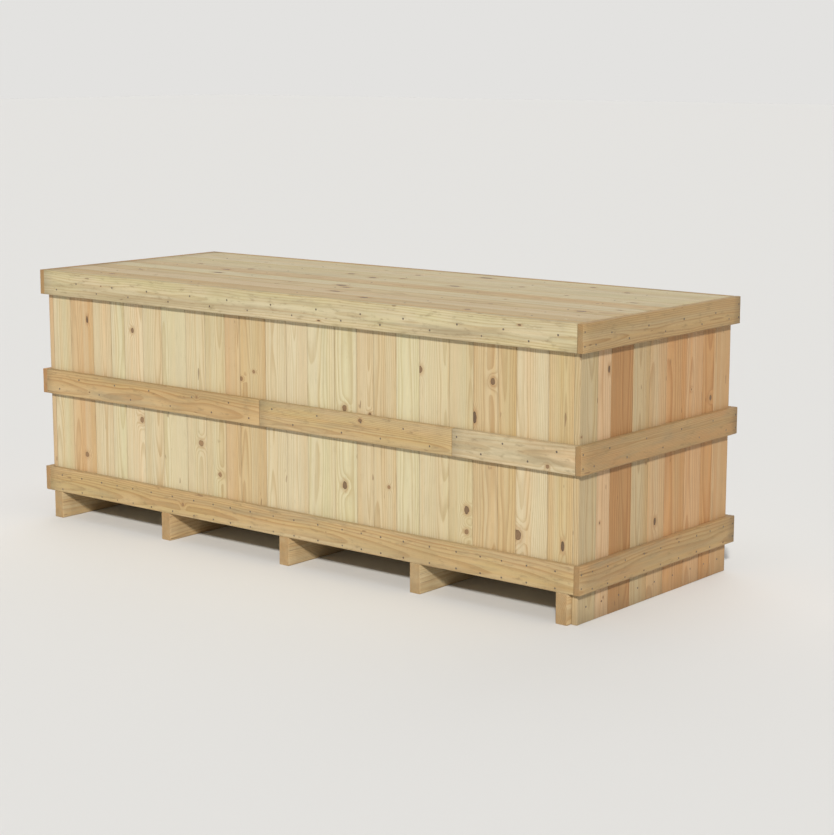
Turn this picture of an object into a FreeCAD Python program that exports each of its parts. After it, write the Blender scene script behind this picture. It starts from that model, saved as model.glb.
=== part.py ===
import FreeCAD, Part

import os

import Sketcher

# A nailed wooden shipping crate on skids, with a lid that lifts off. Millimetres.
# Origin: on the ground under the middle of the crate. +X along the long sides, +Z up, -Y is the front.

DIMENSIONS = {
    "overall_length": 2440,
    "overall_width": 910,
    "overall_height": 930,
    "board_thickness": 22,
    "rail_height": 90,
    "skid_height": 100,
    "skid_width": 45,
    "skid_count": 5,
    "splice_one": -107,  # the butt joints of the long middle rails, from the crate's middle
    "splice_two": 726,
    "wide_board": 120,
    "common_board": 95,
    "narrow_board": 70,
    "narrowest_board": 50,  # the last board of a panel is ripped, but not narrower than this
    "seam_gap": 1,
    "deck_count": 9,
    "deck_gap": 1.5,
    "post_width": 90,
    "post_depth": 45,
    "lid_count": 9,
    "lid_gap": 1.5,
    "lid_clearance": 3,
    "batten_count": 5,
    "batten_width": 90,
    "batten_end_gap": 6,
    "batten_inset": 160,  # from the end cladding to the first batten, past the corner posts
    "nail_diameter": 3.1,
    "nail_head_diameter": 7,
    "nail_head_thickness": 1.2,
    "nail_point": 4,
    "nail_sink": 0.3,
    "short_nail": 40,
    "long_nail": 65,
    "screw_diameter": 5,
    "screw_head_diameter": 10,
    "screw_head_height": 3.5,
    "screw_length": 60,
    "screw_point": 7,
    "screw_spacing": 40,
    "slot_width": 1.6,
    "slot_depth": 2,
    "pilot_diameter": 5.6,
    "pilot_depth": 42,
}

# The cladding boards' widths come in this order, and each panel starts at another place in it.
WIDTH_ORDER = (
    "common_board", "wide_board", "common_board", "narrow_board", "common_board", "common_board",
    "wide_board", "common_board", "common_board", "narrow_board", "wide_board", "common_board",
)

DOC = FreeCAD.newDocument("shipping_crate")
SHEET = DOC.addObject("Spreadsheet::Sheet", "dims")
for row, (alias, number) in enumerate(DIMENSIONS.items(), start=1):
    SHEET.set("A%d" % row, alias)
    SHEET.set("B%d" % row, str(number))
    SHEET.setAlias("B%d" % row, alias)
DOC.recompute()

# Planes that pieces share, as expressions. "Outer" is the outside face of the rails, "shell" the outside
# of the cladding and "inner" its inside: each is a distance from the crate's middle.
THICKNESS = "dims.board_thickness"
OUTER_X = "(dims.overall_length / 2)"
SHELL_X = "(dims.overall_length / 2 - dims.board_thickness)"
INNER_X = "(dims.overall_length / 2 - 2 * dims.board_thickness)"
OUTER_Y = "(dims.overall_width / 2)"
SHELL_Y = "(dims.overall_width / 2 - dims.board_thickness)"
INNER_Y = "(dims.overall_width / 2 - 2 * dims.board_thickness)"
DECK_TOP = "(dims.skid_height + dims.board_thickness)"
LID_BOTTOM = "(dims.overall_height - dims.board_thickness)"
RAIL_BOTTOMS = {
    "bottom": "dims.skid_height",
    "middle": "((dims.skid_height + dims.overall_height - dims.rail_height) / 2)",
    "top": "(dims.overall_height - dims.rail_height)",
}

NODES = []  # the objects that are written out, one file each


def number_in(expression):
    """The number that an expression of the sheet's cells comes to."""
    return float(SHEET.evalExpression(expression))


def size(alias):
    """The number in one cell of the sheet."""
    return number_in("dims." + alias)


def add_node(piece, label):
    """Names a finished piece and lists it for writing out."""
    piece.Label = label
    NODES.append(piece)


def move_to(piece, corner):
    """Binds the place of a piece to three expressions."""
    for axis, expression in zip("xyz", corner):
        piece.setExpression("Placement.Base." + axis, expression)


def board(name, sizes, corner):
    """A sawn board: its sizes along X, Y and Z and its lowest corner are expressions."""
    piece = DOC.addObject("Part::Box", name)
    for side, expression in zip(("Length", "Width", "Height"), sizes):
        piece.setExpression(side, expression)
    move_to(piece, corner)
    return piece


def new_sketch(body, role, name):
    """An empty sketch on one of the body's own origin planes."""
    sketch = body.newObject("Sketcher::SketchObject", body.Name + name)
    plane = next(feature for feature in body.Origin.OriginFeatures if feature.Role == role)
    sketch.AttachmentSupport = (plane, "")
    sketch.MapMode = "FlatFace"
    return sketch


def bind(sketch, constraint, expression):
    """Adds a constraint that has a size, and binds that size to an expression."""
    index = sketch.addConstraint(constraint)
    sketch.setExpression("Constraints[%d]" % index, expression)


def timber(name, role, section, length, backwards=False):
    """A body with one pad: a rectangle from the plane's origin, as long as the expression says."""
    body = DOC.addObject("PartDesign::Body", name)
    sketch = new_sketch(body, role, "_section")
    corners = [FreeCAD.Vector(x, y, 0) for x, y in ((0, 0), (10, 0), (10, 10), (0, 10))]
    for start, end in zip(corners, corners[1:] + corners[:1]):
        sketch.addGeometry(Part.LineSegment(start, end))
    for line in range(4):
        sketch.addConstraint(Sketcher.Constraint("Coincident", line, 2, (line + 1) % 4, 1))
        sketch.addConstraint(Sketcher.Constraint(("Horizontal", "Vertical")[line % 2], line))
    sketch.addConstraint(Sketcher.Constraint("Coincident", 0, 1, -1, 1))
    bind(sketch, Sketcher.Constraint("DistanceX", 0, 1, 0, 2, 10), section[0])
    bind(sketch, Sketcher.Constraint("DistanceY", 1, 1, 1, 2, 10), section[1])
    pad = body.newObject("PartDesign::Pad", name + "_pad")
    pad.Profile = sketch
    pad.Reversed = backwards
    pad.setExpression("Length", length)
    return body


def make_skids():
    """Bearers across the crate. The outer two stand against the end cladding."""
    pitch = "((2 * %s - dims.skid_width) / (dims.skid_count - 1))" % INNER_X
    for number in range(int(size("skid_count"))):
        name = "skid_%d" % (number + 1)
        skid = timber(name, "XZ_Plane", ("dims.skid_width", "dims.skid_height"), "dims.overall_width")
        move_to(skid, ("%d * %s - %s" % (number, pitch, INNER_X), OUTER_Y, "0"))
        add_node(skid, name)


def make_rows(name, count, gap, length, half_width, bottom):
    """Equal boards side by side along the crate, filling the width between -half_width and half_width."""
    width = "((2 * %s - (dims.%s - 1) * dims.%s) / dims.%s)" % (half_width, count, gap, count)
    for number in range(int(size(count))):
        start = "%d * (%s + dims.%s) - %s" % (number, width, gap, half_width)
        label = "%s_%d" % (name, number + 1)
        add_node(board(label, (length, width, THICKNESS), ("-%s / 2" % length, start, bottom)), label)


def make_cladding(label, axis, half_span, across, bottom, first_width):
    """A panel of upright boards side by side along an axis, 0 for X and 1 for Y. Returns their middles."""
    boards = []
    middles = []
    place = "-" + half_span
    used = -number_in(half_span)
    last = False
    while not last:
        alias = WIDTH_ORDER[(first_width + len(boards)) % len(WIDTH_ORDER)]
        room_after = number_in(half_span) - used - size(alias) - size("seam_gap")
        last = room_after < size("narrowest_board")
        sizes = [THICKNESS, THICKNESS, "%s - %s" % (LID_BOTTOM, bottom)]
        rest = "%s * 1 mm - (%s)" % (half_span, place)
        sizes[axis] = rest if last else "dims." + alias
        corner = [across, across, bottom]
        corner[axis] = place
        name = "%s_board_%d" % (label, len(boards) + 1)
        boards.append(board(name, sizes, corner))
        end = number_in(half_span) if last else used + size(alias)
        middles.append((used + end) / 2)
        used = end + size("seam_gap")
        step = "(dims.%s + dims.seam_gap) * 1 mm" % alias
        place = "%s.Placement.Base.%s + %s" % (name, "xy"[axis], step)
    panel = DOC.addObject("Part::Compound", label)
    panel.Links = boards
    add_node(panel, label)
    return middles


def make_rail(label, axis, start, end, outer_side, level):
    """A rail along X or Y. Its section's low corner is at outer_side across the crate."""
    across = "YZ_Plane" if axis == 0 else "XZ_Plane"
    rail = timber(label, across, (THICKNESS, "dims.rail_height"), "%s - (%s)" % (end, start))
    corner = (start, outer_side, level) if axis == 0 else (outer_side, end, level)
    move_to(rail, corner)
    add_node(rail, label)


def make_long_rails(panel, outer_side):
    """The rails of a long side, between the end rails. The middle one is three lengths."""
    ends = ["-" + SHELL_X, "dims.splice_one", "dims.splice_two", SHELL_X]
    make_rail(panel + "_bottom_rail", 0, ends[0], ends[-1], outer_side, RAIL_BOTTOMS["bottom"])
    for number, (start, end) in enumerate(zip(ends, ends[1:]), start=1):
        label = "%s_middle_rail_%d" % (panel, number)
        make_rail(label, 0, start, end, outer_side, RAIL_BOTTOMS["middle"])
    make_rail(panel + "_top_rail", 0, ends[0], ends[-1], outer_side, RAIL_BOTTOMS["top"])


def make_end_rails(panel, outer_side):
    """The rails of an end, over the full width, so that they cover the ends of the long rails."""
    for name, level in RAIL_BOTTOMS.items():
        make_rail("%s_%s_rail" % (panel, name), 1, "-" + OUTER_Y, OUTER_Y, outer_side, level)


def post_corners():
    """The four posts in order, each as the sign of X and of Y."""
    return [(sign_x, sign_y) for sign_y in (-1, 1) for sign_x in (-1, 1)]


def make_posts():
    """Posts inside the corners, each with two pilot holes in its top for the lid's screws."""
    height = "(%s - %s)" % (LID_BOTTOM, DECK_TOP)
    for number, (sign_x, sign_y) in enumerate(post_corners(), start=1):
        name = "corner_post_%d" % number
        post = timber(name, "XY_Plane", ("dims.post_width", "dims.post_depth"), height)
        holes = new_sketch(post, "XY_Plane", "_pilots")
        holes.setExpression("AttachmentOffset.Base.z", height)
        for index, side in enumerate("-+"):
            holes.addGeometry(Part.Circle(FreeCAD.Vector(20 + 40 * index, 20, 0), FreeCAD.Vector(0, 0, 1), 3))
            middle = "dims.post_width / 2 %s dims.screw_spacing / 2" % side
            bind(holes, Sketcher.Constraint("DistanceX", -1, 1, index, 3, 20), middle)
            bind(holes, Sketcher.Constraint("DistanceY", -1, 1, index, 3, 20), "dims.post_depth / 2")
            bind(holes, Sketcher.Constraint("Diameter", index, 6), "dims.pilot_diameter")
        pocket = post.newObject("PartDesign::Pocket", name + "_pocket")
        pocket.Profile = holes
        pocket.setExpression("Length", "dims.pilot_depth")
        low_x = "-" + INNER_X if sign_x < 0 else INNER_X + " - dims.post_width"
        low_y = "-" + INNER_Y if sign_y < 0 else INNER_Y + " - dims.post_depth"
        move_to(post, (low_x, low_y, DECK_TOP))
        add_node(post, name)


def make_battens():
    """Battens across the underside of the lid, between the side claddings and clear of the posts."""
    length = "(2 * (%s - dims.batten_end_gap))" % INNER_Y
    reach = "(%s - dims.batten_inset)" % INNER_X
    pitch = "((2 * %s - dims.batten_width) / (dims.batten_count - 1))" % reach
    for number in range(int(size("batten_count"))):
        label = "lid_batten_%d" % (number + 1)
        corner = ("%d * %s - %s" % (number, pitch, reach), "-%s / 2" % length, LID_BOTTOM + " - " + THICKNESS)
        add_node(board(label, ("dims.batten_width", length, THICKNESS), corner), label)


def fastener(name, parts):
    """Solids stacked down the Z axis from z = 0, fused: each is a kind, its sizes and its height."""
    pieces = []
    below = "0"
    for number, (kind, sizes, height) in enumerate(parts):
        piece = DOC.addObject(kind, "%s_part_%d" % (name, number + 1))
        for side, expression in sizes.items():
            piece.setExpression(side, expression)
        piece.setExpression("Height", height)
        below = "%s + %s" % (below, height)
        piece.setExpression("Placement.Base.z", "-(%s)" % below)
        pieces.append(piece)
    whole = DOC.addObject("Part::MultiFuse", name)
    whole.Shapes = pieces
    return whole


def make_nail(length):
    """A wire nail that points down, with the top of its head at the origin."""
    head = {"Radius": "dims.nail_head_diameter / 2"}
    shank = {"Radius": "dims.nail_diameter / 2"}
    point = {"Radius1": "0.2", "Radius2": "dims.nail_diameter / 2"}
    shank_length = "(dims.%s - dims.nail_head_thickness - dims.nail_point)" % length
    return fastener(length, [
        ("Part::Cylinder", head, "dims.nail_head_thickness"),
        ("Part::Cylinder", shank, shank_length),
        ("Part::Cone", point, "dims.nail_point"),
    ])


def make_screw():
    """A countersunk screw that points down, with a cross recess in its head."""
    head = {"Radius1": "dims.screw_diameter / 2", "Radius2": "dims.screw_head_diameter / 2"}
    shank = {"Radius": "dims.screw_diameter / 2"}
    point = {"Radius1": "0.3", "Radius2": "dims.screw_diameter / 2"}
    shank_length = "(dims.screw_length - dims.screw_head_height - dims.screw_point)"
    solid = fastener("screw_blank", [
        ("Part::Cone", head, "dims.screw_head_height"),
        ("Part::Cylinder", shank, shank_length),
        ("Part::Cone", point, "dims.screw_point"),
    ])
    bars = []
    long_side = "0.55 * dims.screw_head_diameter"
    for sides in ((long_side, "dims.slot_width"), ("dims.slot_width", long_side)):
        corner = ("-%s / 2" % sides[0], "-%s / 2" % sides[1], "-dims.slot_depth")
        bars.append(board("recess_%d" % (len(bars) + 1), sides + ("dims.slot_depth",), corner))
    cross = DOC.addObject("Part::MultiFuse", "recess")
    cross.Shapes = bars
    screw = DOC.addObject("Part::Cut", "screw")
    screw.Base = solid
    screw.Tool = cross
    return screw


def make_fasteners(label, places):
    """One node of equal fasteners: each place is the fastener, its head's middle and its direction."""
    shapes = []
    for master, point, direction in places:
        shape = master.Shape.copy()
        turn = FreeCAD.Rotation(FreeCAD.Vector(0, 0, -1), FreeCAD.Vector(*direction))
        shape.Placement = FreeCAD.Placement(FreeCAD.Vector(*point), turn)
        shapes.append(shape)
    group = DOC.addObject("Part::Feature", label)
    group.Shape = Part.makeCompound(shapes)
    add_node(group, label)


def rail_nails(middles, short, base):
    """The nails through one panel's rails: fastener, place along the panel and height of each.

    The lowest row, level with the deck, takes the fastener called base."""
    low, high = 0.24 * size("rail_height"), 0.72 * size("rail_height")
    bottom, middle, top = (number_in(RAIL_BOTTOMS[name]) for name in ("bottom", "middle", "top"))
    under_lid = 0.55 * size("rail_height")  # the cladding ends below the top rail's upper edge
    nails = []
    for number, along in enumerate(middles):
        nails.append((base, along, bottom + size("board_thickness") / 2))
        nails.append((short, along, bottom + high))
        nails.append((short, along, middle + (low, high)[number % 2]))
        nails.append((short, along, top + (low, under_lid)[number % 2]))
    return nails


def make_long_side_nails(middles, short, long):
    """The nails of the front and the back, through the rails into the cladding and the deck's edge."""
    face = size("overall_width") / 2 - size("nail_sink")
    for label, side in (("front", -1), ("back", 1)):
        places = []
        for nail, along, level in rail_nails(middles[label], short, long):
            places.append((nail, (along, side * face, level), (0, -side, 0)))
        make_fasteners(label + "_nails", places)


def make_end_nails(middles, short, long):
    """The nails of the ends: through the rails, into the outer skid and into the long rails' ends."""
    rail_face = size("overall_length") / 2 - size("nail_sink")
    clad_face = rail_face - size("board_thickness")
    rail_end = (size("overall_width") - size("board_thickness")) / 2
    low, high = 0.24 * size("rail_height"), 0.72 * size("rail_height")
    for label, side in (("left_end", -1), ("right_end", 1)):
        inwards = (-side, 0, 0)
        places = []
        for nail, along, level in rail_nails(middles[label], short, short):
            places.append((nail, (side * rail_face, along, level), inwards))
        for along in middles[label]:
            places.append((long, (side * clad_face, along, size("skid_height") / 2), inwards))
        for bottom in RAIL_BOTTOMS.values():
            for offset in (low, high):
                for corner in (-1, 1):
                    point = (side * rail_face, corner * rail_end, number_in(bottom) + offset)
                    places.append((long, point, inwards))
        make_fasteners(label + "_nails", places)


def centres(label):
    """The middle of every node whose name is the label and a number."""
    pieces = [piece for piece in NODES if piece.Label.rsplit("_", 1)[0] == label]
    return [piece.Shape.BoundBox.Center for piece in pieces]


def make_crossing_nails(label, boards, bearers, nail, level):
    """A nail down at every crossing of two sets of pieces, to one side and the other of the middle."""
    down = (0, 0, -1)
    places = []
    for row, strip in enumerate(centres(boards)):
        for column, bearer in enumerate(centres(bearers)):
            shift = size("skid_width") / 5 * (-1) ** (row + column)
            places.append((nail, (bearer.x + shift, strip.y, level), down))
    make_fasteners(label, places)


def make_post_nails(nail):
    """Nails from inside the crate, through the posts into the side cladding."""
    places = []
    for post in centres("corner_post"):
        side = 1 if post.y > 0 else -1
        face = abs(post.y) - size("post_depth") / 2 - size("nail_sink")
        for part in (-0.3, 0, 0.3):
            level = post.z + part * (number_in(LID_BOTTOM) - number_in(DECK_TOP))
            places.append((nail, (post.x, side * face, level), (0, side, 0)))
    make_fasteners("post_nails", places)


def make_lid_screws(screw):
    """The screws that hold the lid on the corner posts."""
    level = size("overall_height") - size("nail_sink")
    places = []
    for post in centres("corner_post"):
        for side in (-1, 1):
            point = (post.x + side * size("screw_spacing") / 2, post.y, level)
            places.append((screw, point, (0, 0, -1)))
    make_fasteners("lid_screws", places)


def check_and_write():
    """Stops on any failed object or empty shape, then writes one STEP file for each node."""
    DOC.recompute()
    failed = [item.Name for item in DOC.Objects if {"Invalid", "Error"} & set(item.State)]
    if failed:
        raise RuntimeError("these objects failed: %s" % failed)
    for node in NODES:
        if node.Shape.isNull() or not node.Shape.isValid() or not node.Shape.Solids:
            raise RuntimeError("%s has no valid solid" % node.Label)
    os.makedirs("parts", exist_ok=True)
    for node in NODES:
        node.Shape.exportStep("parts/%s.step" % node.Label)
    print("wrote %d nodes with %d solids" % (len(NODES), sum(len(node.Shape.Solids) for node in NODES)))


make_skids()
make_rows("deck_board", "deck_count", "deck_gap", "(2 * %s)" % INNER_X, INNER_Y, "dims.skid_height")
MIDDLES = {
    "front": make_cladding("front_cladding", 0, INNER_X, "-" + SHELL_Y, "dims.skid_height", 0),
    "back": make_cladding("back_cladding", 0, INNER_X, INNER_Y, "dims.skid_height", 5),
    "left_end": make_cladding("left_end_cladding", 1, SHELL_Y, "-" + SHELL_X, "0", 3),
    "right_end": make_cladding("right_end_cladding", 1, SHELL_Y, INNER_X, "0", 8),
}
make_long_rails("front", "-" + OUTER_Y)
make_long_rails("back", SHELL_Y)
make_end_rails("left_end", "-" + OUTER_X)
make_end_rails("right_end", SHELL_X)
make_posts()
LID_LENGTH = "(2 * (%s - dims.lid_clearance))" % SHELL_X
LID_HALF_WIDTH = "(%s - dims.lid_clearance)" % SHELL_Y
make_rows("lid_board", "lid_count", "lid_gap", LID_LENGTH, LID_HALF_WIDTH, LID_BOTTOM)
make_battens()
SHORT_NAIL = make_nail("short_nail")
LONG_NAIL = make_nail("long_nail")
SCREW = make_screw()
DOC.recompute()

make_long_side_nails(MIDDLES, SHORT_NAIL, LONG_NAIL)
make_end_nails(MIDDLES, SHORT_NAIL, LONG_NAIL)
DECK_NAIL_LEVEL = number_in(DECK_TOP) - size("nail_sink")
LID_NAIL_LEVEL = size("overall_height") - size("nail_sink")
make_crossing_nails("deck_nails", "deck_board", "skid", LONG_NAIL, DECK_NAIL_LEVEL)
make_crossing_nails("lid_nails", "lid_board", "lid_batten", SHORT_NAIL, LID_NAIL_LEVEL)
make_post_nails(LONG_NAIL)
make_lid_screws(SCREW)
check_and_write()
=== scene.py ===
import math
import random

import bmesh
import bpy
import numpy as np
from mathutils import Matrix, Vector
from mathutils.geometry import tessellate_polygon


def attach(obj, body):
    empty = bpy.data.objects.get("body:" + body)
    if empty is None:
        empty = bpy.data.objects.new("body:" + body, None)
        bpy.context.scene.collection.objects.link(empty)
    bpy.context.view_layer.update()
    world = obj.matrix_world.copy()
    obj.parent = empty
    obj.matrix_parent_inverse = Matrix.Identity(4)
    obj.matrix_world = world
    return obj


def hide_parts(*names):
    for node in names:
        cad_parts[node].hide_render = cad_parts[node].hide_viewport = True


# A nailed shipping crate of pale pine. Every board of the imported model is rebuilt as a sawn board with
# worn arrises, and one wood material works out growth rings, knots and stain inside each board.
# All sizes are in metres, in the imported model's frame.

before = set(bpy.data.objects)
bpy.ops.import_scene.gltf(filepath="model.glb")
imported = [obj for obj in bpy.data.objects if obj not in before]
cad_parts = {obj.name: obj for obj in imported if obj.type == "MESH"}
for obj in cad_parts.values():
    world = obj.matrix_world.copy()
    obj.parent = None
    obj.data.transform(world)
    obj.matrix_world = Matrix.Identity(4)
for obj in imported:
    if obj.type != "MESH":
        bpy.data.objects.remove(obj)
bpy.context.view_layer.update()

# Colours of the boards, as tone and hue. Tone 0 is pale sapwood, 1 is orange heartwood, and above that is
# darker. Hue 1 is pinkish and -1 is greenish.
TONES = {
    "pale": (0.08, 0.0), "cream": (0.26, 0.0), "buff": (0.42, 0.0), "honey": (0.60, 0.0), "tan": (0.78, 0.1),
    "orange": (0.88, 0.0), "rust": (1.30, -0.2), "olive": (0.55, -0.9), "moss": (0.62, -0.7),
}
ANY_TONES = ("pale", "cream", "cream", "honey")
FRONT_TONES = (
    "cream honey cream pale pale cream pale cream cream buff honey cream "
    "pale pale pale cream cream pale cream buff honey honey cream honey"
).split()
END_TONES = "olive cream rust moss honey tan honey orange tan".split()
RAIL_TONES = {
    "front_top_rail": "pale", "front_middle_rail_1": "tan", "front_middle_rail_2": "honey",
    "front_middle_rail_3": "cream",
}
# How far a board's own tone and hue may be from its colour's.
TONE_SPREAD = 0.08
HUE_SPREAD = (-0.5, 0.4)

# Knots in the front's cladding: place along the crate, height and radius.
FRONT_KNOTS = (
    (-1.01, 0.255, 0.009), (-0.99, 0.76, 0.005), (-0.75, 0.74, 0.007), (-0.71, 0.42, 0.010),
    (-0.41, 0.37, 0.011), (-0.32, 0.27, 0.008), (-0.21, 0.62, 0.007), (-0.15, 0.65, 0.006),
    (0.26, 0.57, 0.009), (0.26, 0.31, 0.009), (0.37, 0.56, 0.006), (0.45, 0.33, 0.006),
    (0.58, 0.73, 0.009), (0.77, 0.30, 0.009), (0.77, 0.23, 0.008), (0.80, 0.60, 0.007),
    (0.87, 0.72, 0.008), (0.97, 0.25, 0.013), (1.14, 0.24, 0.006),
)
NO_KNOT = (-9.0, 0.0, 0.01)
KNOT_RADII = (0.003, 0.004, 0.006, 0.008, 0.010)
KNOT_SPACING = (0.18, 0.9)
KNOT_FREE_END = 0.05
LATEST_FIRST_KNOT = 0.7
KNOT_SIDE = 0.4  # how far to the side of a board's middle a knot lies, in widths


# Boards

SINK = 0.0004  # the wood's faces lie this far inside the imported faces, so that nail heads stand clear
UNEVEN = 0.0005  # how much further a face wanders inwards
TIGHT = 0.2  # the share of both that a board's edges have, so that seams stay narrow
STATION = 0.05  # spacing of the sections along a board
FACE_INSET = 0.006  # the first point on a face beside an arris
WANDER_LENGTHS = (0.9, 0.37, 0.16)
END_ARRIS = 0.8  # the radius round an end, as a share of the long edges'
LEAST_ARRIS, ARRIS_WANDER = 0.6, 1.1  # shares of the nominal radius
WIDEST_ARRIS = FACE_INSET * 0.8
CRISP_ARRIS = 0.001  # up to this radius a board was handled with care and has few chips
FEW_CHIPS, MORE_CHIPS = (0, 0, 0, 1), (0, 0, 1, 1, 2, 3)
CHIP_HALF_LENGTH = (0.006, 0.03)
CHIP_DEPTH = (0.8, 2.6)  # in arris radii
CHIP_STATIONS = (-1.5, -0.8, -0.3, 0.3, 0.8, 1.5)  # sections round a chip, in half lengths
END_CUT = (0.0002, 0.0012)  # how much shorter than its box a board's end is sawn
END_SKEW = (-0.006, 0.006)  # and how far out of square, as a slope
PITH_REACH = (0.012, 0.09)
PITH_SIDE = 0.45  # how far to the side of a board's middle the pith lies, in widths
PITH_TILT = 0.02
END_WEAR = 0.09  # how far the darker, splitting wood of an end reaches
OPEN_ROOM = 1.0  # stands for no other knot on the board
# Orders of the along, across and thick axes that turn a board inside out.
MIRRORED = ((0, 2, 1), (1, 0, 2), (2, 1, 0))

BORE_SIDES = 16
BORE_RADIUS = 0.0028
BORE_DEPTH = 0.042


def section_points():
    """The points round a board's section, as columns: the sides they belong to across the width and the
    thickness (-1, 0 or 1), their share of the arris radius, their inset from the side, and 1 on an arris,
    which the wood material darkens with dirt and painted shade."""
    rows = []
    corners = ((1, 1), (-1, 1), (-1, -1), (1, -1))
    for number, (side_w, side_t) in enumerate(corners):
        for turn in (0, 45, 90):
            angle = math.radians(90 * number + turn)
            rows.append((side_w, side_t, math.cos(angle) - side_w, math.sin(angle) - side_t, 0, 0, 1))
        next_w, next_t = corners[(number + 1) % 4]
        if side_t == next_t:
            rows.append((side_w, side_t, 0, 0, -side_w * FACE_INSET, 0, 0))
            rows.append((0, side_t, 0, 0, 0, 0, 0))
            rows.append((next_w, next_t, 0, 0, -next_w * FACE_INSET, 0, 0))
        else:
            rows.append((side_w, side_t, 0, 0, 0, -side_t * FACE_INSET, 0))
            rows.append((next_w, next_t, 0, 0, 0, -next_t * FACE_INSET, 0))
    return np.array(rows, float).T


SECTION = section_points()
# The corner that each of those points belongs to, counted round the section.
CORNER_NUMBERS = {(1, 1): 0, (-1, 1): 1, (-1, -1): 2}
CORNER_OF_POINT = [CORNER_NUMBERS.get((w, t), 3) for w, t in zip(SECTION[0], SECTION[1])]


def wander(rng, places, amount):
    """A smooth random line along a board, between 0 and amount."""
    waves = sum(np.sin(math.tau * (places / length + rng.random())) for length in WANDER_LENGTHS)
    return amount * (0.5 + waves / (2 * len(WANDER_LENGTHS)))


def random_chips(rng, length, arris):
    """Places along a board where an arris is chipped: place, half length, depth and corner."""
    count = rng.choice(MORE_CHIPS if arris > CRISP_ARRIS else FEW_CHIPS)
    return [
        (rng.uniform(0, length), rng.uniform(*CHIP_HALF_LENGTH), rng.uniform(*CHIP_DEPTH) * arris,
         rng.randrange(4))
        for _ in range(count)
    ]


def random_knots(rng, length, width, clear, knot_size):
    """Knots at uneven places along a board, some boards having none. Clear wood has fewer, smaller."""
    knots = []
    place = rng.uniform(KNOT_FREE_END, LATEST_FIRST_KNOT * clear)
    while place < length - KNOT_FREE_END:
        radius = rng.choice(KNOT_RADII) * knot_size / clear
        knots.append((place, rng.uniform(-KNOT_SIDE, KNOT_SIDE) * width, radius))
        place += rng.uniform(*KNOT_SPACING) * clear
    return knots or [NO_KNOT]


def knot_at(knots, place):
    """The knot that shows at a place along a board."""
    return min(knots, key=lambda knot: abs(knot[0] - place))


def section_places(length, end, chips, knots):
    """Where along a board its sections are: evenly spaced, closer at a chip, and halfway between knots."""
    inner = list(np.linspace(end, length - end, max(2, round(length / STATION)) + 1))
    for place, reach, _, _ in chips:
        inner += [place + reach * step for step in CHIP_STATIONS]
    given = sorted(knots or [])
    inner += [(knot[0] + after[0]) / 2 for knot, after in zip(given, given[1:])]
    inner = [place for place in sorted(inner) if end <= place <= length - end]
    return np.array([0] + inner + [length])


def arris_radii(rng, places, arris, chips):
    """The radius of the arris at each point of each section."""
    radius = np.stack([arris * (LEAST_ARRIS + wander(rng, places, ARRIS_WANDER)) for _ in range(4)], axis=1)
    for place, reach, depth, corner in chips:
        radius[:, corner] += depth * np.exp(-(((places - place) / reach) ** 2))
    return np.minimum(radius, WIDEST_ARRIS)[:, CORNER_OF_POINT]


def sections(rng, places, width, thickness, inset, radius, rough):
    """The points of every section of a board, across its width and through its thickness."""
    cup = rng.uniform(0, UNEVEN)
    side_w, side_t, arc_w, arc_t, inset_w, inset_t, _ = (row[None, :] for row in SECTION)
    edge = width / 2 - SINK * TIGHT - inset
    face = thickness / 2 - SINK
    half_w = {side: edge - wander(rng, places, UNEVEN * rough * TIGHT) for side in (-1, 1)}
    half_t = {side: face - wander(rng, places, UNEVEN * rough) - inset for side in (-1, 1)}
    w = np.where(side_w > 0, half_w[1][:, None], -half_w[-1][:, None]) * np.abs(side_w)
    t = np.where(side_t > 0, half_t[1][:, None], -half_t[-1][:, None]) * np.abs(side_t)
    return w + arc_w * radius + inset_w, t + arc_t * radius + inset_t - side_t * cup * (side_w == 0)


def saw_ends(rng, s, w):
    """Shortens and skews a board's two ends, and gives the far end's cut and skew."""
    for rows, sign in (((0, 1), 1), ((-2, -1), -1)):
        cut, skew = rng.uniform(*END_CUT), rng.uniform(*END_SKEW)
        for row in rows:
            s[row] += sign * np.maximum(cut + skew * w[rows[-1]], 0)
    return cut, skew


def bore_points(top, w, t, skew):
    """A pilot hole's points: its rim, its foot and the tip that the drill left."""
    points = []
    for depth in (0, BORE_DEPTH):
        for side in range(BORE_SIDES):
            angle = math.tau * side / BORE_SIDES
            out_w, out_t = BORE_RADIUS * math.cos(angle), BORE_RADIUS * math.sin(angle)
            points.append((top - depth - skew * out_w, w + out_w, t + out_t))
    return np.array(points + [(top - BORE_DEPTH - BORE_RADIUS / 2, w, t)])


def bored_end(local, last_ring, around, count):
    """The faces of a board's end round its pilot holes, and of the holes' insides."""
    faces = []
    loops = [list(range(last_ring, last_ring + around))]
    for number in range(count):
        rim = last_ring + around + number * (2 * BORE_SIDES + 1)
        loops.append(list(range(rim, rim + BORE_SIDES)))
        for side in range(BORE_SIDES):
            after = (side + 1) % BORE_SIDES
            foot = rim + BORE_SIDES
            faces.append((rim + side, rim + after, foot + after, foot + side))
            faces.append((foot + side, foot + after, rim + 2 * BORE_SIDES))
    order = [point for loop in loops for point in loop]
    flat = [[Vector((local[point][1], local[point][2], 0)) for point in loop] for loop in loops]
    for corners in tessellate_polygon(flat):
        a, b, c = (local[order[corner]][1:] for corner in corners)
        face = tuple(order[corner] for corner in corners)
        turning = (b[0] - a[0]) * (c[1] - a[1]) - (b[1] - a[1]) * (c[0] - a[0])
        faces.append(face if turning > 0 else face[::-1])
    return faces


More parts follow.
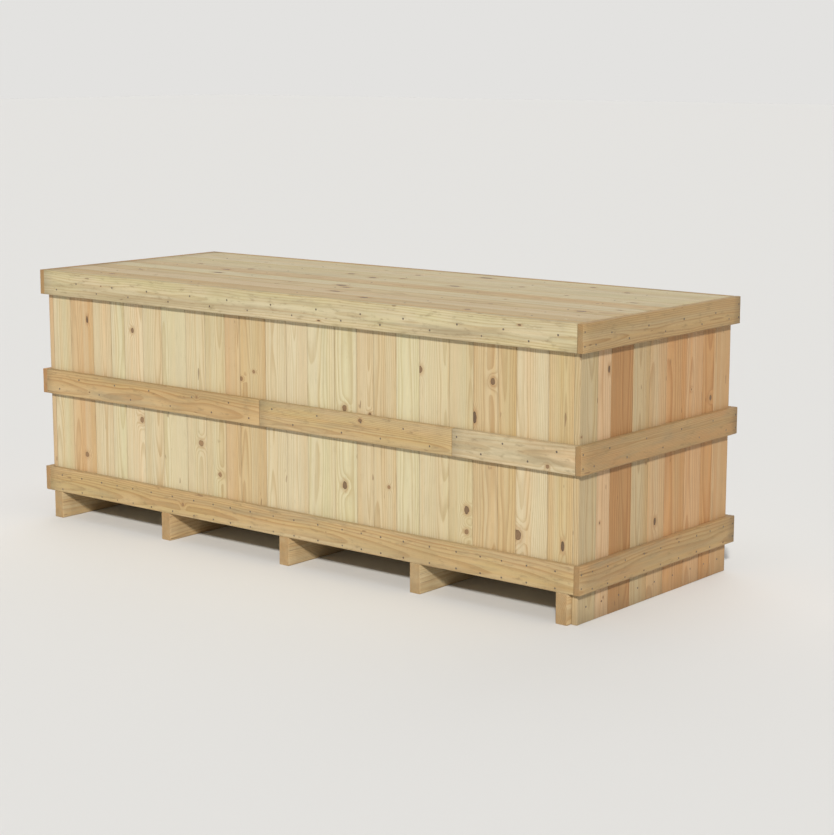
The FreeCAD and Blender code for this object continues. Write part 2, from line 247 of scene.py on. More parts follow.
def board_faces(local, rings, around, bore_count):
    """A board's faces: its four sides, its near end, and its far end with the pilot holes in it."""
    faces = []
    for ring in range(rings - 1):
        for point in range(around):
            after = (point + 1) % around
            corners = (ring * around + point, ring * around + after)
            faces.append(corners + (corners[1] + around, corners[0] + around))
    faces.append(tuple(reversed(range(around))))
    last_ring = (rings - 1) * around
    if bore_count:
        return faces + bored_end(local, last_ring, around, bore_count)
    return faces + [tuple(range(last_ring, rings * around))]


class Lumber:
    """Collects the boards of one piece, with what the wood material reads at each point and face."""

    def __init__(self, name):
        self.name = name
        self.rng = random.Random(name)
        self.points = []
        self.faces = []
        self.smooth = []
        self.count = 0
        self.at_points = {"grain": [], "board": [], "pith": [], "wear": []}
        self.at_faces = {"knot": [], "room": []}

    def add(self, low, high, tone, hue, knots, bores, rough=1.0, arris=0.0012, clear=1.0, knot_size=1.0):
        """Adds the board that fills a box. Its grain runs along the box's longest side. Bores are the
        middles of the pilot holes in its far end, rough is how uneven its faces are, and arris is the
        radius of its long edges. Clear and knot_size are for the random knots of a board given none."""
        rng = self.rng
        middle = (low + high) / 2
        sizes = [high[axis] - low[axis] for axis in range(3)]
        along, across, thick = sorted(range(3), key=lambda axis: -sizes[axis])
        length, width, thickness = sizes[along], sizes[across], sizes[thick]

        # The board in its own frame: s along it, w across its width and t through its thickness.
        end = arris * END_ARRIS
        chips = random_chips(rng, length, arris)
        places = section_places(length, end, chips, knots)
        inset = np.zeros(len(places))
        inset[[0, -1]] = end
        radius = arris_radii(rng, places, arris, chips)
        w, t = sections(rng, places, width, thickness, inset, radius, rough)
        rings, around = w.shape
        s = np.repeat(places[:, None], around, axis=1)
        cut, skew = saw_ends(rng, s, w)
        local = np.stack([s, w, t], axis=-1).reshape(-1, 3)
        for bore in bores:
            side = bore[across] - middle[across]
            top = length - max(cut + skew * side, 0)
            local = np.concatenate([local, bore_points(top, side, bore[thick] - middle[thick], skew)])
        faces = board_faces(local, rings, around, len(bores))
        sides = (rings - 1) * around
        self.smooth += [around <= number < sides - around for number in range(len(faces))]

        world = np.empty_like(local)
        world[:, along] = low[along] + local[:, 0]
        world[:, across] = middle[across] + local[:, 1]
        world[:, thick] = middle[thick] + local[:, 2]
        if (along, across, thick) in MIRRORED:
            faces = [face[::-1] for face in faces]
        if knots is None:
            knots = random_knots(rng, length, width, clear, knot_size)
        self.mark_knots(knots, places, local, faces)
        self.faces += [tuple(point + self.count for point in face) for face in faces]
        self.points.append(world)
        self.count += len(world)

        reach = rng.uniform(*PITH_REACH)
        pith = (rng.uniform(-PITH_SIDE, PITH_SIDE) * width, rng.choice((-1, 1)) * reach,
                rng.uniform(-PITH_TILT, PITH_TILT))
        in_bores = len(local) - rings * around
        edge = np.concatenate([np.tile(SECTION[-1], rings), np.zeros(in_bores)])
        near_end = np.clip(1 - np.minimum(local[:, 0], length - local[:, 0]) / END_WEAR, 0, 1)
        cap = np.concatenate([np.repeat(inset > 0, around), np.ones(in_bores)])
        self.at_points["grain"].append(local)
        self.at_points["board"].append(np.tile((tone, hue, rng.random()), (len(local), 1)))
        self.at_points["pith"].append(np.tile(pith, (len(local), 1)))
        self.at_points["wear"].append(np.stack([edge, near_end, cap], axis=1))

    def mark_knots(self, knots, places, local, faces):
        """Gives each face the knot that shows on it, and how far that knot is from where the next shows."""
        shown = [knot_at(knots, place) for place in (places[1:] + places[:-1]) / 2]
        changes = [places[row] for row in range(1, len(shown)) if shown[row] != shown[row - 1]]
        for face in faces:
            knot = knot_at(knots, sum(local[point][0] for point in face) / len(face))
            room = min([abs(place - knot[0]) for place in changes] + [OPEN_ROOM])
            self.at_faces["knot"].append(knot)
            self.at_faces["room"].append((room, 0, 0))

    def piece(self, material):
        """Makes the mesh object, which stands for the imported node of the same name."""
        mesh = bpy.data.meshes.new(self.name + "_wood")
        mesh.from_pydata(np.concatenate(self.points), [], self.faces)
        for key, rows in self.at_points.items():
            layer = mesh.attributes.new(key, "FLOAT_VECTOR", "POINT")
            layer.data.foreach_set("vector", np.concatenate(rows).astype(np.float32).ravel())
        for key, rows in self.at_faces.items():
            layer = mesh.attributes.new(key, "FLOAT_VECTOR", "FACE")
            layer.data.foreach_set("vector", np.array(rows, np.float32).ravel())
        mesh.polygons.foreach_set("use_smooth", self.smooth)
        mesh.validate()
        mesh.materials.append(material)
        return show(mesh, self.name)


def show(mesh, node):
    """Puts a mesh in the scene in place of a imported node, on that node's body."""
    piece = bpy.data.objects.new(node + "_visual", mesh)
    bpy.context.scene.collection.objects.link(piece)
    body = "lid" if node.startswith("lid_") else "crate"
    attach(piece, body)
    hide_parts(node)
    return piece


def solids_of(node):
    """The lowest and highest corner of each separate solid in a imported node, in a fixed order."""
    shape = bmesh.new()
    shape.from_mesh(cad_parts[node].data)
    bmesh.ops.remove_doubles(shape, verts=shape.verts, dist=1e-5)
    boxes = []
    unseen = set(shape.verts)
    while unseen:
        found = [unseen.pop()]
        for vert in found:
            for edge in vert.link_edges:
                other = edge.other_vert(vert)
                if other in unseen:
                    unseen.remove(other)
                    found.append(other)
        places = np.array([vert.co for vert in found])
        boxes.append((places.min(axis=0), places.max(axis=0)))
    shape.free()
    return sorted(boxes, key=lambda box: tuple(np.round(box[0], 4)))


def knots_in(knots, low, high):
    """Those of the front's knots that lie in one upright board, in the board's own frame."""
    middle = (low[0] + high[0]) / 2
    inside = [(z - low[2], x - middle, radius) for x, z, radius in knots if low[0] <= x <= high[0]]
    return inside or [NO_KNOT]


def screws_over(low, high):
    """The middles of the lid screws that stand over a box."""
    middles = [(screw_low + screw_high) / 2 for screw_low, screw_high in solids_of("lid_screws")]
    return [middle for middle in middles if np.all((middle > low)[:2] & (middle < high)[:2])]


def make_boards(node, material, warmth=0.0, tones=None, knots=None, **cut):
    """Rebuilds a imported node's boards. Warmth shifts their hue, tones name each board's colour, and cut
    is how they were cut, as Lumber.add takes it."""
    lumber = Lumber(node)
    for number, (low, high) in enumerate(solids_of(node)):
        name = tones[number % len(tones)] if tones else lumber.rng.choice(ANY_TONES)
        tone, hue = TONES[name]
        tone += lumber.rng.uniform(-TONE_SPREAD, TONE_SPREAD)
        hue += warmth + lumber.rng.uniform(*HUE_SPREAD)
        placed = knots and knots_in(knots, low, high)
        bores = screws_over(low, high) if node.startswith("corner_post") else ()
        lumber.add(low, high, tone, hue, placed, bores, **cut)
    lumber.piece(material)


# Materials


class Value:
    """A number that a material's nodes work out, so that a formula is written as a formula."""

    def __init__(self, nodes, socket):
        self.nodes = nodes
        self.socket = socket

    def __add__(self, other):
        return self.nodes.math("ADD", self, other)

    def __sub__(self, other):
        return self.nodes.math("SUBTRACT", self, other)

    def __rsub__(self, other):
        return self.nodes.math("SUBTRACT", other, self)

    def __mul__(self, other):
        return self.nodes.math("MULTIPLY", self, other)

    def __truediv__(self, other):
        return self.nodes.math("DIVIDE", self, other)

    def __pow__(self, other):
        return self.nodes.math("POWER", self, other)

    __radd__ = __add__
    __rmul__ = __mul__

    def between(self, low, high):
        """0 at low and 1 at high, with a smooth step between them. Low may be the larger."""
        return self.nodes.step(self, low, high)


class Nodes:
    """Adds nodes to a material and joins them up."""

    def __init__(self, name):
        self.material = bpy.data.materials.new(name)
        self.material.use_nodes = True
        self.tree = self.material.node_tree
        self.surface = self.tree.nodes["Principled BSDF"]

    def feed(self, socket, value):
        """Sets a socket to a number or a colour, or links it to a value."""
        if isinstance(value, Value):
            self.tree.links.new(value.socket, socket)
        elif hasattr(socket.default_value, "__len__") and len(socket.default_value) == 4:
            socket.default_value = (*value, 1.0)
        else:
            socket.default_value = value

    def set_surface(self, name, value):
        """Feeds one of the surface's own sockets."""
        self.feed(self.surface.inputs[name], value)

    def math(self, operation, *values):
        node = self.tree.nodes.new("ShaderNodeMath")
        node.operation = operation
        for socket, value in zip(node.inputs, values):
            self.feed(socket, value)
        return Value(self, node.outputs[0])

    def step(self, value, low, high):
        node = self.tree.nodes.new("ShaderNodeMapRange")
        node.interpolation_type = "SMOOTHSTEP"
        swapped = low > high
        for name, number in (("Value", value), ("From Min", min(low, high)), ("From Max", max(low, high)),
                             ("To Min", float(swapped)), ("To Max", float(not swapped))):
            self.feed(node.inputs[name], number)
        return Value(self, node.outputs["Result"])

    def attribute(self, name):
        """The three numbers of one of the mesh's own attributes."""
        node = self.tree.nodes.new("ShaderNodeAttribute")
        node.attribute_name = name
        return self.split(Value(self, node.outputs["Vector"]))

    def split(self, vector):
        node = self.tree.nodes.new("ShaderNodeSeparateXYZ")
        self.feed(node.inputs[0], vector)
        return [Value(self, output) for output in node.outputs]

    def join(self, *values):
        node = self.tree.nodes.new("ShaderNodeCombineXYZ")
        for socket, value in zip(node.inputs, values):
            self.feed(socket, value)
        return Value(self, node.outputs[0])

    def noise(self, place, scale=1.0, detail=3.0, roughness=0.5):
        node = self.tree.nodes.new("ShaderNodeTexNoise")
        self.feed(node.inputs["Vector"], place)
        self.feed(node.inputs["Scale"], scale)
        self.feed(node.inputs["Detail"], detail)
        self.feed(node.inputs["Roughness"], roughness)
        return Value(self, node.outputs["Fac"])

    def mix(self, factor, first, second, blend="MIX"):
        node = self.tree.nodes.new("ShaderNodeMix")
        node.data_type = "RGBA"
        node.blend_type = blend
        for name, value in (("Factor_Float", factor), ("A_Color", first), ("B_Color", second)):
            socket = next(item for item in node.inputs if item.identifier == name)
            self.feed(socket, value)
        output = next(item for item in node.outputs if item.identifier == "Result_Color")
        return Value(self, output)

    def multiply(self, colour, tint):
        """A colour multiplied by another."""
        return self.mix(1.0, colour, tint, "MULTIPLY")

    def bump(self, height, distance, strength):
        node = self.tree.nodes.new("ShaderNodeBump")
        self.feed(node.inputs["Height"], height)
        self.feed(node.inputs["Distance"], distance)
        self.feed(node.inputs["Strength"], strength)
        return Value(self, node.outputs["Normal"])

    def object_place(self):
        """The place on the whole object, in metres."""
        node = self.tree.nodes.new("ShaderNodeTexCoord")
        return self.split(Value(self, node.outputs["Object"]))


# The wood of a growth ring's early and late part, in sapwood and in heartwood.
EARLY_SAPWOOD, EARLY_HEARTWOOD = (0.60, 0.53, 0.36), (0.50, 0.335, 0.155)
LATE_SAPWOOD, LATE_HEARTWOOD = (0.45, 0.345, 0.185), (0.335, 0.18, 0.065)
# What the wood's colour is multiplied by.
WARM_TINT, GREEN_TINT = (1.09, 0.88, 0.79), (0.93, 0.98, 0.84)
SAWN_TINT, END_GRAIN_TINT = (0.72, 0.66, 0.58), (0.84, 0.76, 0.66)
# Stains and marks. The split's colour is painted shade in a crack, and the dirt colour is also painted shade
# along the arrises and the seams between boards.
BLOTCH, FLECK, WEATHERED = (0.27, 0.225, 0.135), (0.20, 0.145, 0.075), (0.29, 0.215, 0.11)
PIN_KNOT, RESIN, SMUDGE = (0.16, 0.09, 0.045), (0.36, 0.17, 0.05), (0.30, 0.235, 0.14)
SPLIT_SHADE, SCUFF, DIRT_AND_SEAM_SHADE = (0.10, 0.06, 0.03), (0.28, 0.19, 0.10), (0.25, 0.17, 0.09)
KNOT_HALO, KNOT_RIM = (0.36, 0.20, 0.085), (0.05, 0.028, 0.016)
SOUND_KNOT = ((0.20, 0.115, 0.055), (0.33, 0.20, 0.10))
DEAD_KNOT = ((0.075, 0.048, 0.03), (0.15, 0.092, 0.055))


class Wood:
    """Works out the wood of a board at each point, from the attributes that Lumber gives its mesh."""

    def __init__(self, name):
        nodes = self.nodes = Nodes(name)
        self.s, self.w, self.t = nodes.attribute("grain")
        self.tone, self.hue, self.seed = nodes.attribute("board")
        self.edge, self.near_end, self.cut = nodes.attribute("wear")
        self.along_face = 1.0 - self.cut
        self.find_knot()
        self.find_rings()
        self.streak = self.noise(0.5, 38, 9.0, detail=4.0, roughness=0.6)
        self.fibre = self.noise(11, 380, 21.0, detail=3.0, roughness=0.65)
        self.hair = self.noise(16, 1100, 24.0, detail=2.0, roughness=0.6)
        self.saw = self.noise(260, 5, 61.0, detail=3.0) * self.noise(3, 9, 71.0).between(0.35, 0.6)

    def noise(self, along, across, shift, **looks):
        """Noise with so many lumps to the metre along and across the grain, different in each board."""
        s = self.s * along + self.seed * 61.0 + shift
        place = self.nodes.join(s, self.w * across + self.seed * 23.0, self.t * across)
        return self.nodes.noise(place, **looks)

    def find_knot(self):
        """The knot that shows here: its kind, and the distance to it in its own radii. Its bend and halo
        end before the next knot's begin."""
        nodes = self.nodes
        knot_s, knot_w, self.knot_radius = nodes.attribute("knot")
        room = nodes.attribute("room")[0]
        ragged = self.noise(90, 90, 3.0) - 0.5
        self.kind = nodes.noise(nodes.join(knot_s * 31.0, knot_w * 97.0, self.seed * 53.0), detail=0.0)
        lengthened = self.kind.between(0.3, 0.6) * 0.6 + 0.4
        from_knot = nodes.math("SQRT", ((self.s - knot_s) * lengthened) ** 2.0 + (self.w - knot_w) ** 2.0)
        self.knot = from_knot / self.knot_radius + ragged * 0.7
        self.alone = (nodes.math("ABSOLUTE", self.s - knot_s) / room).between(1.0, 0.3)

    def find_rings(self):
        """The late wood of each growth ring, by the distance from the pith, which bends round a knot."""
        nodes = self.nodes
        pith_w, pith_t, tilt = nodes.attribute("pith")
        bulge = nodes.math("EXPONENT", self.knot * self.knot * -0.16) * self.knot_radius * 1.5 * self.alone
        wobble = (self.noise(1.6, 7, 5.0, detail=2.0) - 0.5) * 0.03
        radius = nodes.math("SQRT", (self.w - pith_w) ** 2.0 + (self.t - pith_t - tilt * self.s) ** 2.0)
        years = (radius + wobble + bulge) / (self.seed * 0.0035 + 0.0035)
        year = nodes.math("FRACT", years)
        self.late = year.between(0.35, 0.9) * year.between(1.0, 0.93)

    def clean(self, stain, sawn, darker):
        """The colour of clean wood: sapwood and heartwood in broad streaks, darker late wood, fibres."""
        nodes = self.nodes
        broad = self.noise(0.45, 10, 15.0, detail=2.0)
        heart = (self.tone + (broad - 0.5) * 0.7 + (self.streak - 0.5) * 1.1).between(-0.15, 1.1)
        early = nodes.mix(heart, EARLY_SAPWOOD, EARLY_HEARTWOOD)
        late = nodes.mix(heart, LATE_SAPWOOD, LATE_HEARTWOOD)
        colour = nodes.mix(self.late * (self.streak * 0.8 + 0.15), early, late)
        hue = self.hue + (self.noise(0.9, 16, 27.0, detail=2.0) - 0.5) * 1.2
        hue = hue + (self.noise(6.0, 14, 29.0, detail=2.0) - 0.5) * (2.4 * stain)
        warm, green = nodes.multiply(colour, WARM_TINT), nodes.multiply(colour, GREEN_TINT)
        colour = nodes.mix(hue.between(0.0, 1.2), nodes.mix(hue.between(0.0, -1.2), colour, green), warm)
        shade = (self.fibre - 0.5) * 0.32 + (self.hair - 0.5) * 0.22 + (self.streak - 0.5) * 0.22
        # Darker dims the whole material: for the rails it is their own darker wood, and on the ends' copies
        # it is mostly painted shade.
        shade = shade + (1.0 - darker) - self.tone.between(0.95, 1.4) * 0.2
        colour = nodes.multiply(colour, nodes.join(shade, shade, shade))
        return nodes.mix(self.saw * sawn * 0.3, colour, nodes.multiply(colour, SAWN_TINT))

    def stained(self, colour, stain):
        """Adds stain, weather, pin knots and resin."""
        nodes = self.nodes
        blotch = self.noise(2.2, 17, 31.0, detail=5.0, roughness=0.62).between(0.50, 0.72)
        colour = nodes.mix(blotch * stain, colour, BLOTCH)
        fleck = self.noise(22, 75, 33.0, detail=5.0, roughness=0.65).between(0.52, 0.74)
        colour = nodes.mix(fleck * stain * 0.9, colour, FLECK)
        weather = self.noise(0.7, 26, 36.0, detail=4.0, roughness=0.6).between(0.42, 0.75)
        colour = nodes.mix(weather * stain * 0.8, colour, WEATHERED)
        pin = self.noise(17, 62, 45.0, detail=1.0).between(0.745, 0.80) * self.along_face
        colour = nodes.mix(pin * 0.6, colour, PIN_KNOT)
        self.resin = self.noise(1.3, 110, 41.0, detail=1.0).between(0.74, 0.82)
        return nodes.mix(self.resin * 0.35, colour, RESIN)

    def used(self, colour, stain):
        """Adds smudges, splits drawn dark with painted shade, scuffs, dirt and painted seam shade on the
        arrises, dirt by the ground, and darker sawn ends.
        """
        nodes = self.nodes
        x, y, height = nodes.object_place()
        smudge = nodes.noise(nodes.join(x, y, height), scale=2.3, detail=4.0, roughness=0.6)
        colour = nodes.mix(smudge.between(0.50, 0.78) * (stain * 0.35 + 0.10), colour, SMUDGE)
        split = self.noise(2.6, 170, 81.0, detail=2.0).between(0.66, 0.72)
        self.split = split * self.near_end * self.along_face
        # The split is a dark line: painted shade in a crack that is only a bump, not cut in the mesh.
        colour = nodes.mix(self.split * 0.7, colour, SPLIT_SHADE)
        slanted = nodes.join(self.s * 9.0 + self.w * 31.0, self.w * 210.0 - self.s * 37.0, self.seed * 71.0)
        self.scuff = nodes.noise(slanted).between(0.70, 0.76)
        colour = nodes.mix(self.scuff * 0.28, colour, SCUFF)
        grime = self.noise(14, 40, 51.0, detail=4.0)
        # Painted shade: the arrises, and with them the seams between boards, are darkened as if occluded,
        # mixed with dirt. The wood by the ends and near the ground gets dirt only.
        dirt_and_seam_shade = self.edge * grime * 0.3 + self.near_end * grime * 0.22
        dirt_and_seam_shade = dirt_and_seam_shade + height.between(0.11, 0.0) * grime * 0.3
        colour = nodes.mix(dirt_and_seam_shade, colour, DIRT_AND_SEAM_SHADE)
        return nodes.mix(self.cut * 0.6, colour, nodes.multiply(colour, END_GRAIN_TINT))

    def knotted(self, colour):
        """Adds the knot: a halo of resin, a dark rim, and redder wood inside with its own rings."""
        nodes = self.nodes
        dead = self.kind.between(0.62, 0.36)
        halo = self.knot.between(2.8, 0.9) * (dead * 0.25 + 0.35) * self.alone
        colour = nodes.mix(halo, colour, KNOT_HALO)
        inner_rings = nodes.math("SINE", self.knot * 21.0) * 0.3 + 0.5
        inner = nodes.mix(dead, nodes.mix(inner_rings, *SOUND_KNOT), nodes.mix(inner_rings, *DEAD_KNOT))
        self.inside = self.knot.between(1.12, 0.95)
        self.rim = self.inside * self.knot.between(0.72, 0.98)
        inner = nodes.mix(self.rim * (dead * 0.5 + 0.35), inner, KNOT_RIM)
        return nodes.mix(self.inside * 0.92, colour, inner)

    def set_gloss_and_relief(self, sawn):
        """Sets how dull the surface is and its fine relief."""
        gloss = (self.fibre - 0.5) * 0.25 + self.late * -0.08 + self.inside * -0.12 + self.resin * -0.2 + 0.72
        relief = self.fibre * 0.55 + self.hair * 0.25 + self.late * 0.35 + self.saw * sawn
        relief = relief + self.inside * 0.4 - self.rim * 0.6 - self.split - self.scuff * 0.3
        self.nodes.set_surface("Roughness", gloss)
        self.nodes.set_surface("Specular IOR Level", 0.35)
        self.nodes.set_surface("Normal", self.nodes.bump(relief, distance=0.0009, strength=0.6))


def pine(name, stain, sawn, darker=0.0):
    """Sawn pine. Stain is how much grey-blue stain it has, and sawn how deep the saw's marks are."""
    wood = Wood(name)
    colour = wood.clean(stain, sawn, darker)
    colour = wood.stained(colour, stain)
    colour = wood.used(colour, stain)
    wood.nodes.set_surface("Base Color", wood.knotted(colour))
    wood.set_gloss_and_relief(sawn)
    return wood.nodes.material


RUST = (0.20, 0.09, 0.04)


def steel(name, colour, roughness):
    """Drawn wire or plated steel, a little uneven, with a trace of rust."""
    nodes = Nodes(name)
    place = nodes.join(*nodes.object_place())
    patch = nodes.noise(place, scale=260.0, detail=3.0)
    grime = nodes.noise(place, scale=31.0, detail=2.0).between(0.5, 0.75)
    nodes.set_surface("Base Color", nodes.mix(grime * 0.5, colour, RUST))
    nodes.set_surface("Metallic", 0.85)
    nodes.set_surface("Roughness", (patch - 0.5) * 0.3 + grime * 0.2 + roughness)
    nodes.set_surface("Normal", nodes.bump(patch, distance=0.0001, strength=0.4))
    return nodes.material


# Fasteners

# Profiles are radius and depth.
NAIL_SIDES = 12
NAIL_SHANK = 0.00155
NAIL_HEAD = ((0.0018, 0.00005), (0.0029, 0.00022), (0.0035, 0.0006), (0.0034, 0.0012), (NAIL_SHANK, 0.0015))
NAIL_TIP = 0.004
NAIL_TIP_RADIUS = 0.0003
SCREW_SHANK = 0.0025
SCREW_PLAIN = 0.016  # how far down the thread starts
SCREW_HEAD = (
    (0.0046, 0.0), (0.00495, 0.00012), (0.005, 0.0004), (SCREW_SHANK, 0.0035), (SCREW_SHANK, SCREW_PLAIN),
)
SCREW_CORE = 0.0017
SCREW_THREAD = 0.0024
SCREW_PITCH = 0.0028
SCREW_RINGS = 6  # sections in each turn of the thread
SCREW_TIP = 0.008
CREST_WIDTH = 0.28  # half the thread's width, in pitches
RECESS_LONG, RECESS_SHORT, RECESS_DEPTH = 0.0027, 0.00065, 0.0019
RECESS_TAPER = 0.72
DRIVEN_UNEVENLY = (-0.0002, 0.0001)  # how far a head is sunk beyond its place
LEAN = 0.02
SHARP_ANGLE = math.radians(38)


def skin(points, faces, rings):
    """Adds rings of points and joins them with quads. Each ring runs round the axis that points into the
    wood."""
    around = len(rings[0])
    for ring in rings:
        points += ring
    for row in range(len(rings) - 1):
        for side in range(around):
            after = (side + 1) % around
            here, there = row * around, (row + 1) * around
            faces.append((here + side, here + after, there + after, there + side))


def nail_shape(length):
    """A nail with a slightly domed head and a point, along +Z from the middle of its head."""
    profile = NAIL_HEAD + ((NAIL_SHANK, length - NAIL_TIP), (NAIL_TIP_RADIUS, length))
    angles = [math.tau * side / NAIL_SIDES for side in range(NAIL_SIDES)]
    rings = [[(r * math.cos(angle), r * math.sin(angle), z) for angle in angles] for r, z in profile]
    points, faces = [], []
    skin(points, faces, rings)
    points += [(0, 0, 0), (0, 0, length)]
    last = (len(rings) - 1) * NAIL_SIDES
    for side in range(NAIL_SIDES):
        after = (side + 1) % NAIL_SIDES
        faces.append((len(points) - 2, after, side))
        faces.append((last + side, last + after, len(points) - 1))
    return points, faces


def cross_outline():
    """The outline of a screw's cross recess."""
    outline = []
    for turn in range(4):
        for x, y in ((RECESS_LONG, -RECESS_SHORT), (RECESS_LONG, RECESS_SHORT), (RECESS_SHORT, RECESS_SHORT)):
            for _ in range(turn):
                x, y = -y, x
            outline.append((x, y))
    return outline


def thread_rings(length, angles):
    """A screw's sections from the start of its thread down to its tip."""
    rings = []
    steps = round((length - SCREW_PLAIN) / (SCREW_PITCH / SCREW_RINGS))
    for step in range(1, steps + 1):
        z = SCREW_PLAIN + (length - SCREW_PLAIN) * step / steps
        shrink = min(1, (length - z) / SCREW_TIP + 0.08) * min(1, 0.6 + 0.4 * step / SCREW_RINGS)
        ring = []
        for angle in angles:
            phase = (z / SCREW_PITCH - angle / math.tau) % 1
            crest = max(0, 1 - abs(phase - 0.5) / CREST_WIDTH)
            r = (SCREW_CORE + (SCREW_THREAD - SCREW_CORE) * crest) * shrink
            ring.append((r * math.cos(angle), r * math.sin(angle), z))
        rings.append(ring)
    return rings


def screw_shape(length):
    """A countersunk screw with a cross recess and a cut thread, along +Z from the top of its head."""
    cross = cross_outline()
    corner_angles = [math.atan2(y, x) % math.tau for x, y in cross]
    angles = []
    for number, angle in enumerate(corner_angles):
        after = corner_angles[(number + 1) % len(cross)]
        angles += [angle, angle + ((after - angle) % math.tau) / 2]
    rings = [[(r * math.cos(angle), r * math.sin(angle), z) for angle in angles] for r, z in SCREW_HEAD]
    points, faces = [], []
    skin(points, faces, rings + thread_rings(length, angles))
    faces.append(tuple(range(len(points) - len(angles), len(points))))
    top = len(points)
    floor = top + len(cross)
    points += [(x, y, 0) for x, y in cross]
    points += [(x * RECESS_TAPER, y * RECESS_TAPER, RECESS_DEPTH) for x, y in cross]
    for side in range(len(cross)):
        after = (side + 1) % len(cross)
        outer = (2 * side, 2 * side + 1, (2 * side + 2) % len(angles))
        faces.append((top + side, top + after, outer[2], outer[1], outer[0]))
        faces.append((top + side, floor + side, floor + after, top + after))
    faces.append(tuple(reversed(range(floor, floor + len(cross)))))
    return points, faces


def make_fasteners(node, shape_of, material, facing, sunk=0.0):
    """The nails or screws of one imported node, each along its own solid. Facing is 1 if the heads face
    away from the crate's middle, and -1 if they face it."""
    rng = random.Random(node)
    points = []
    faces = []
    for low, high in solids_of(node):
        axis = int(np.argmax(high - low))
        outwards = facing if (low + high)[axis] > 0 else -facing
        head = Vector((low + high) / 2)
        head[axis] = (high if outwards > 0 else low)[axis] - outwards * (sunk + rng.uniform(*DRIVEN_UNEVENLY))
        inwards = Vector([-outwards if side == axis else 0 for side in range(3)])
        lean = Vector([0 if side == axis else rng.uniform(-LEAN, LEAN) for side in range(3)])
        turn = (inwards + lean).normalized().to_track_quat("Z", "X").to_matrix()
        shape_points, shape_faces = shape_of(high[axis] - low[axis] - sunk)
        faces += [tuple(point + len(points) for point in face) for face in shape_faces]
        points += [head + turn @ Vector(point) for point in shape_points]
    mesh = bpy.data.meshes.new(node + "_steel")
    mesh.from_pydata(points, [], faces)
    mesh.validate()
    mesh.materials.append(material)
    mesh.shade_smooth()
    mesh.set_sharp_from_angle(angle=SHARP_ANGLE)
    return show(mesh, node)


# The stage

FLOOR_REACH = 60.0
FLOOR_GREY = (0.76, 0.76, 0.76)
SKY_COLOUR = (1.0, 0.99, 0.97, 1)
HORIZON_STRENGTH, SKY_STRENGTH = 0.768, 0.11
SKY_FADES = (0.03, 0.30)  # heights on the sphere of the sky, between which it dims
# The photograph's view of the crate: a standing person's eye height, off the right front corner.
EYE = Vector((4.58, -5.335, 1.71))
AIM = Vector((0.214, 0.0, 0.473))
LENS = 87.0


def make_floor():
    """A plain pale floor, far wider than any view."""
    mesh = bpy.data.meshes.new("floor")
    corners = [(x * FLOOR_REACH, y * FLOOR_REACH, 0) for x, y in ((-1, -1), (1, -1), (1, 1), (-1, 1))]
    mesh.from_pydata(corners, [], [(0, 1, 2, 3)])
    floor = bpy.data.objects.new("floor", mesh)
    bpy.context.scene.collection.objects.link(floor)
    nodes = Nodes("pale_floor")
    nodes.set_surface("Base Color", FLOOR_GREY)
    nodes.set_surface("Roughness", 1.0)
    nodes.set_surface("Specular IOR Level", 0.0)
    mesh.materials.append(nodes.material)


def make_sun(name, azimuth, elevation, strength, softness, colour=(1, 1, 1)):
    """A distant light. Azimuth 0 shines on the front and 90 on the right end."""
    sun = bpy.data.lights.new(name, "SUN")
    sun.energy = strength
    sun.angle = math.radians(softness)
    sun.color = colour
    lamp = bpy.data.objects.new(name, sun)
    bpy.context.scene.collection.objects.link(lamp)
    around, up = math.radians(azimuth), math.radians(elevation)
    back = Vector((math.sin(around) * math.cos(up), -math.cos(around) * math.cos(up), math.sin(up)))
    lamp.rotation_euler = back.to_track_quat("Z", "Y").to_euler()


def make_world():
    """Soft surrounding light: bright at the horizon, where it meets the floor, and dimmer above."""
    world = bpy.data.worlds.new("studio")
    bpy.context.scene.world = world
    world.use_nodes = True
    tree = world.node_tree
    place = tree.nodes.new("ShaderNodeTexCoord")
    parts = tree.nodes.new("ShaderNodeSeparateXYZ")
    tree.links.new(place.outputs["Generated"], parts.inputs[0])
    ramp = tree.nodes.new("ShaderNodeMapRange")
    ramp.interpolation_type = "SMOOTHSTEP"
    for name, number in (("From Min", SKY_FADES[0]), ("From Max", SKY_FADES[1]),
                         ("To Min", HORIZON_STRENGTH), ("To Max", SKY_STRENGTH)):
        ramp.inputs[name].default_value = number
    tree.links.new(parts.outputs[2], ramp.inputs["Value"])
    background = tree.nodes["Background"]
    tree.links.new(ramp.outputs["Result"], background.inputs["Strength"])
    background.inputs["Color"].default_value = SKY_COLOUR


def make_camera():
    """The scene's camera, from EYE towards AIM."""
    lens = bpy.data.cameras.new("camera")
    lens.lens = LENS
    camera = bpy.data.objects.new("camera", lens)
    bpy.context.scene.collection.objects.link(camera)
    camera.location = EYE
    camera.rotation_euler = (EYE - AIM).to_track_quat("Z", "Y").to_euler()
    bpy.context.scene.camera = camera


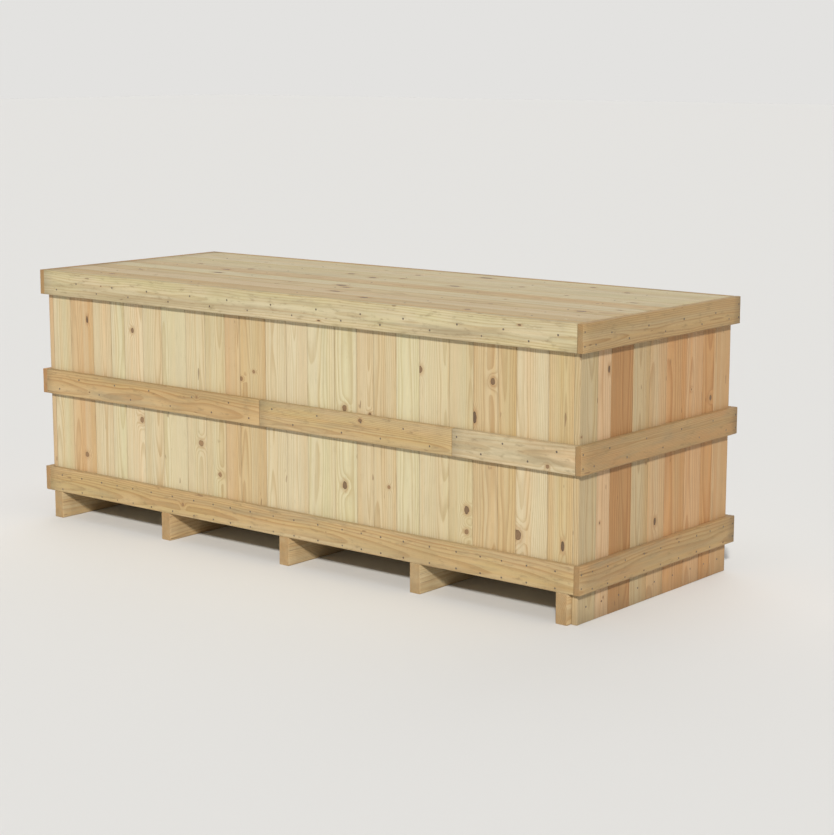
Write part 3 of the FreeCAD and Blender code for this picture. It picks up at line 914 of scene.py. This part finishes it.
make_camera()
make_floor()
make_world()
make_sun("key", azimuth=35, elevation=30, strength=3.36, softness=5.0, colour=(1.0, 0.975, 0.92))
make_sun("overhead", azimuth=0, elevation=88, strength=0.75, softness=60.0)
make_sun("fill", azimuth=215, elevation=35, strength=0.65, softness=50.0)
bpy.context.scene.view_settings.view_transform = "Standard"

# The crate

CLADDING_PINE = pine("cladding_pine", stain=0.12, sawn=0.15)
# Shaded copies for the ends: their extra darkness (0.08 on the cladding, 0.10 beyond the rails' own 0.05) is
# painted shade of the ends, which face away from the key light.
SHADED_END_CLADDING_PINE = pine("end_cladding_pine", stain=0.12, sawn=0.15, darker=0.08)
RAIL_PINE = pine("rail_pine", stain=0.6, sawn=1.0, darker=0.05)
SHADED_END_RAIL_PINE = pine("end_rail_pine", stain=0.6, sawn=1.0, darker=0.15)
TIMBER_PINE = pine("timber_pine", stain=0.25, sawn=0.9)
BOARD_PINE = pine("board_pine", stain=0.22, sawn=0.35)
NAIL_STEEL = steel("nail_steel", (0.20, 0.165, 0.13), 0.5)
SCREW_STEEL = steel("screw_steel", (0.50, 0.42, 0.24), 0.45)
CLADDING = {"rough": 0.7, "arris": 0.0008}
RAIL = {"rough": 1.4, "clear": 1.7}

for node in sorted(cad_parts):
    if node.endswith("nails"):
        make_fasteners(node, nail_shape, NAIL_STEEL, facing=-1 if node == "post_nails" else 1)
    elif node == "lid_screws":
        make_fasteners(node, screw_shape, SCREW_STEEL, facing=1, sunk=0.0003)
    elif node == "front_cladding":
        make_boards(node, CLADDING_PINE, tones=FRONT_TONES, knots=FRONT_KNOTS, **CLADDING)
    # The ends' warmer hue is partly painted warm bounced light on their shaded side, partly the boards' own
    # hue.
    elif node.endswith("end_cladding"):
        make_boards(node, SHADED_END_CLADDING_PINE, warmth=1.1, tones=END_TONES, knot_size=0.6, **CLADDING)
    elif "cladding" in node:
        make_boards(node, CLADDING_PINE, **CLADDING)
    elif "_end_" in node:
        make_boards(node, SHADED_END_RAIL_PINE, warmth=0.5, tones=[RAIL_TONES.get(node, "orange")], **RAIL)
    elif "rail" in node:
        make_boards(node, RAIL_PINE, tones=[RAIL_TONES.get(node, "tan")], **RAIL)
    elif node.startswith(("skid", "corner_post")):
        make_boards(node, TIMBER_PINE, rough=1.6, tones=["honey"], arris=0.002)
    else:
        make_boards(node, BOARD_PINE)
